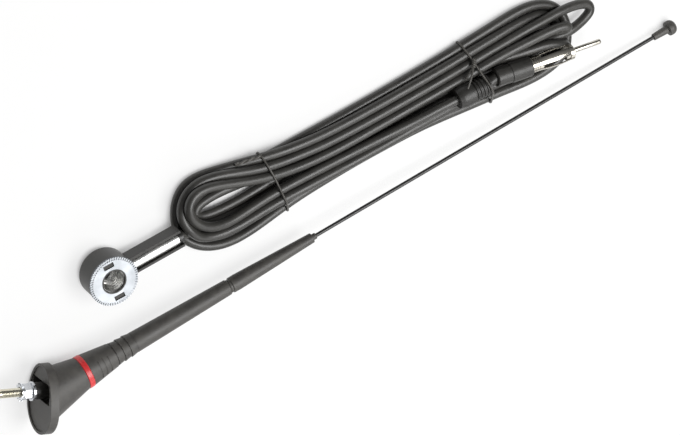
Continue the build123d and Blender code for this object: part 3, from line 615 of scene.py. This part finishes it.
RIGHT_MIDDLE = (98.0, 21.4)
RIGHT_TURN = 8.0
RIBS_ACROSS = (-8.3, 12.1, 5.9)
KNOT_ACROSS = 7.6
KNOT_OVER = 8.0
KNOT_R = 0.8
KNOT_PITCH = 2.2
TAIL_ENDS = ((87.0, 19.2, 16.8), (88.4, 22.4, 13.2))
TAIL_BOW = 1.2
right = tight_loop(np.array(RIGHT_MIDDLE), RIGHT_TURN, [RIBS_ACROSS])
right = [tuple(p) for p in evenly(right + right[:1], TIE_STEP)]
lean = math.radians(RIGHT_TURN)
knot_x = RIGHT_MIDDLE[0] - math.sin(lean) * KNOT_ACROSS
knot_y = RIGHT_MIDDLE[1] + math.cos(lean) * KNOT_ACROSS
upper = [p for p in right if p[2] > KNOT_OVER]
knot = min(upper, key=lambda p: (p[0] - knot_x) ** 2 + (p[1] - knot_y) ** 2)
knot_high = (knot[0] + 0.8, knot[1] + 1.6, knot[2] + 0.3)
knot_low = (knot[0] - 1.6, knot[1] - 2.2, knot[2] + 0.9)
tails = []
for x, y, z in TAIL_ENDS:
    middle = ((knot_low[0] + x) / 2 - TAIL_BOW, (knot_low[1] + y) / 2, max(knot_low[2], z) + TAIL_BOW)
    tails.append([knot_low, middle, (x, y, z)])
knot_turns = twist(knot_high, knot_low, KNOT_R, KNOT_PITCH)
wire_piece("right_tie", [right + right[:1]] + tails + knot_turns)

# Floor: a wide sheet of white paper, a little below the part. What the camera, metal and any glass see of
# it is lifted towards white, except in narrow gaps, and it keeps a soft share of the shadows.
FLOOR_M = 30
BELOW_M = 0.0004
NARROW_M = 0.012
bpy.ops.mesh.primitive_plane_add(size=FLOOR_M, location=(0, 0, -BELOW_M))
floor = bpy.context.object
floor.name = "paper_floor"
paper = bpy.data.materials.new("white_paper")
paper.use_nodes = True
tree = paper.node_tree
shader = tree.nodes["Principled BSDF"]
shader.inputs["Base Color"].default_value = linear("#f6f6f5")
shader.inputs["Roughness"].default_value = 0.9
shader.inputs["Specular IOR Level"].default_value = 0.1
glow = add(tree, "ShaderNodeEmission", {"Color": linear("#ffffff"), "Strength": 1.0})
seen = add(tree, "ShaderNodeLightPath")
either = add(tree, "ShaderNodeMath", {"operation": "MAXIMUM"})
tree.links.new(seen.outputs["Is Camera Ray"], either.inputs[0])
tree.links.new(seen.outputs["Is Glossy Ray"], either.inputs[1])
any_of = add(tree, "ShaderNodeMath", {"operation": "MAXIMUM"})
tree.links.new(either.outputs[0], any_of.inputs[0])
tree.links.new(seen.outputs["Is Transmission Ray"], any_of.inputs[1])
open_sky = add(tree, "ShaderNodeAmbientOcclusion", {"Distance": NARROW_M, "samples": 16})
lift = {"From Min": 0.15, "From Max": 0.6, "To Min": 0.0, "To Max": 0.75}
clear = add(tree, "ShaderNodeMapRange", lift, Value=open_sky.outputs["AO"])
share = add(tree, "ShaderNodeMath", {"operation": "MULTIPLY"})
tree.links.new(any_of.outputs[0], share.inputs[0])
tree.links.new(clear.outputs["Result"], share.inputs[1])
lifted = add(tree, "ShaderNodeMixShader", None, Fac=share.outputs[0])
tree.links.new(shader.outputs["BSDF"], lifted.inputs[1])
tree.links.new(glow.outputs["Emission"], lifted.inputs[2])
tree.links.new(lifted.outputs["Shader"], tree.nodes["Material Output"].inputs["Surface"])
floor.data.materials.append(paper)

# Light: a bright ceiling that falls off to grey walls, a softbox overhead for the shine on the strands, and
# a wide weaker one on the mast's side.
world = bpy.data.worlds.new("studio")
bpy.context.scene.world = world
world.use_nodes = True
tree = world.node_tree
back = tree.nodes["Background"]
way = add(tree, "ShaderNodeTexCoord").outputs["Generated"]
height = add(tree, "ShaderNodeSeparateXYZ", None, Vector=way)
sky = add(tree, "ShaderNodeValToRGB", None, Fac=height.outputs["Z"])
sky.color_ramp.elements[0].position = 0.05
sky.color_ramp.elements[0].color = linear("#5c5c5d")
sky.color_ramp.elements[1].position = 0.75
sky.color_ramp.elements[1].color = linear("#ffffff")
tree.links.new(sky.outputs["Color"], back.inputs["Color"])
back.inputs["Strength"].default_value = 0.27


def softbox(name, place, width, depth, watts):
    """A flat soft lamp that faces the middle of the floor."""
    data = bpy.data.lights.new(name, "AREA")
    data.shape = "RECTANGLE"
    data.size = width
    data.size_y = depth
    data.energy = watts
    lamp = bpy.data.objects.new(name, data)
    bpy.context.collection.objects.link(lamp)
    lamp.location = place
    lamp.rotation_euler = (-lamp.location).to_track_quat("-Z", "Y").to_euler()


softbox("overhead_softbox", (0.45, -0.2, 1.6), 1.2, 0.9, 27)
softbox("side_softbox", (0.15, -1.5, 0.95), 2.0, 1.2, 11)

# Camera: far off with a long lens, so that near and far parts keep their scale. It looks down on the floor
# at the photograph's angle.
CAMERA_AWAY_M = 2.5
LENS_MM = 244.9
camera_data = bpy.data.cameras.new("photo_camera")
camera = bpy.data.objects.new("photo_camera", camera_data)
bpy.context.collection.objects.link(camera)
right_way = Vector((0.8374, -0.3157, 0.4461))
up_way = Vector((0.4763, 0.8219, -0.3124))
to_camera = Vector((-0.2681, 0.4741, 0.8387))
middle = Vector((-0.00119, -0.02060, 0))
turn = Matrix((right_way, up_way, to_camera)).transposed().to_4x4()
camera.matrix_world = Matrix.Translation(middle + CAMERA_AWAY_M * to_camera) @ turn
camera_data.sensor_width = 36
camera_data.lens = LENS_MM
camera_data.clip_end = 60
bpy.context.scene.camera = camera
bpy.context.scene.view_settings.view_transform = "Standard"
